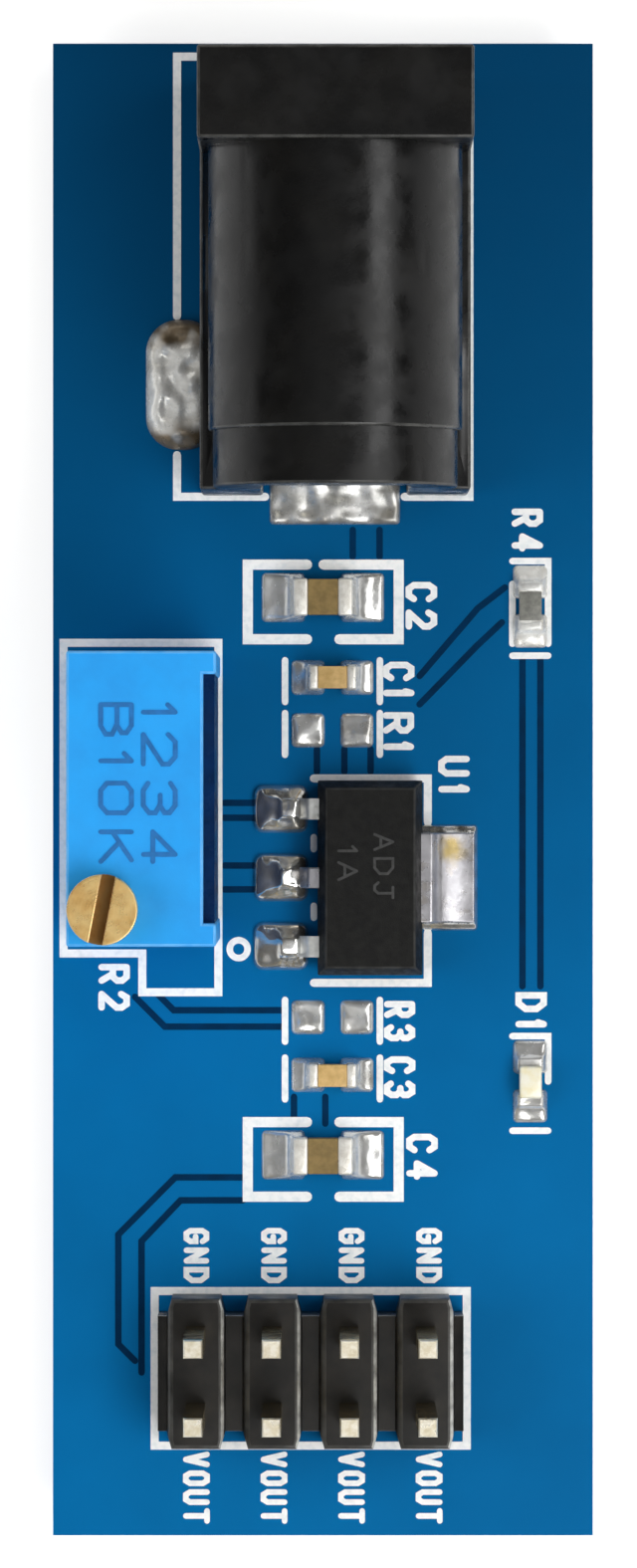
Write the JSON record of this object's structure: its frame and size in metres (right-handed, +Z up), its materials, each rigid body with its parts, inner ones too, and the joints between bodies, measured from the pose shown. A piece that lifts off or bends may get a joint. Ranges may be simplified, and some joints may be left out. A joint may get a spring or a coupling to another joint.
{
  "type": "adjustable voltage regulator module",
  "caption": "Small blue circuit board with a barrel power jack, a multi-turn trimmer, a tabbed regulator chip, chip capacitors, a lamp and a double-row pin header.",
  "frame": {"origin": "under the middle of the board, on the plane where the soldered leg tips stand", "axes": "+Y along the board to the jack's mouth, +X across the board to the regulator's tab, +Z up from the leg tips"},
  "size_m": [0.0182, 0.05, 0.0142],
  "materials": {
    "board": "blue lacquer over copper and glass cloth",
    "black_moulding": "smooth black moulding",
    "blue_moulding": "satin sky-blue moulding",
    "potting": "cast dark-blue resin",
    "screw_brass": "turned brass",
    "seal_rubber": "black rubber",
    "wheel_plastic": "natural white moulding",
    "white_ceramic": "fired alumina",
    "tan_ceramic": "fired tan ceramic",
    "olive_ceramic": "fired olive-brown ceramic",
    "chip_moulding": "matt black moulding",
    "plated_contact": "nickel-plated brass",
    "tinned_leg": "tinned copper",
    "chip_end": "tinned nickel",
    "pin_gold": "pale gold flash",
    "glaze": "dark overglaze",
    "lamp_white": "white laminate",
    "lamp_lens": "clear pale-yellow resin",
    "solder": "bright solder"
  },
  "bodies": {
    "module": {"board": "board", "jack_housing": "black_moulding", "jack_centre_pin": "plated_contact", "jack_rear_terminal": "plated_contact", "jack_sleeve_spring": "plated_contact", "jack_switch_terminal": "plated_contact", "trimmer_case": "blue_moulding", "trimmer_potting": "potting", "trimmer_seal_ring": "seal_rubber", "trimmer_element": "white_ceramic", "trimmer_pin_1": "tinned_leg", "trimmer_pin_2": "tinned_leg", "trimmer_pin_3": "tinned_leg", "regulator_body": "chip_moulding", "regulator_input_lead": "tinned_leg", "regulator_adjust_lead": "tinned_leg", "regulator_tab": "tinned_leg", "capacitor_1_middle": "tan_ceramic", "capacitor_1_ends": "chip_end", "capacitor_2_middle": "olive_ceramic", "capacitor_2_ends": "chip_end", "capacitor_3_middle": "tan_ceramic", "capacitor_3_ends": "chip_end", "capacitor_4_middle": "olive_ceramic", "capacitor_4_ends": "chip_end", "resistor_middle": "white_ceramic", "resistor_glaze": "glaze", "resistor_ends": "chip_end", "lamp_base": "lamp_white", "lamp_lens": "lamp_lens", "lamp_ends": "chip_end", "header_body": "black_moulding", "header_pin_1": "pin_gold", "header_pin_2": "pin_gold", "header_pin_3": "pin_gold", "header_pin_4": "pin_gold", "header_pin_5": "pin_gold", "header_pin_6": "pin_gold", "header_pin_7": "pin_gold", "header_pin_8": "pin_gold", "solder_jack": "solder", "solder_trimmer": "solder", "solder_regulator": "solder", "solder_capacitors": "solder", "solder_spare_lands": "solder", "solder_resistor": "solder", "solder_lamp": "solder", "solder_header": "solder"},
    "screw": {"trimmer_screw": "screw_brass"},
    "wheel": {"trimmer_worm_wheel": "wheel_plastic", "trimmer_wiper": "pin_gold"}
  },
  "joints": [
    {"name": "trimmer_screw_turn", "type": "hinge", "parent": "module", "child": "screw", "pos_m": [-0.00709, -0.00385, 0.0084], "axis": [0, 0, 1], "range_deg": [-4500, 4500]},
    {"name": "trimmer_wheel_turn", "type": "hinge", "parent": "module", "child": "wheel", "pos_m": [-0.00709, -0.00008, 0.0084], "axis": [1, 0, 0], "range_deg": [-140, 140]}
  ],
  "couplings": [
    {"joint": "trimmer_wheel_turn", "follows": "trimmer_screw_turn", "ratio": 0.030303}
  ]
}
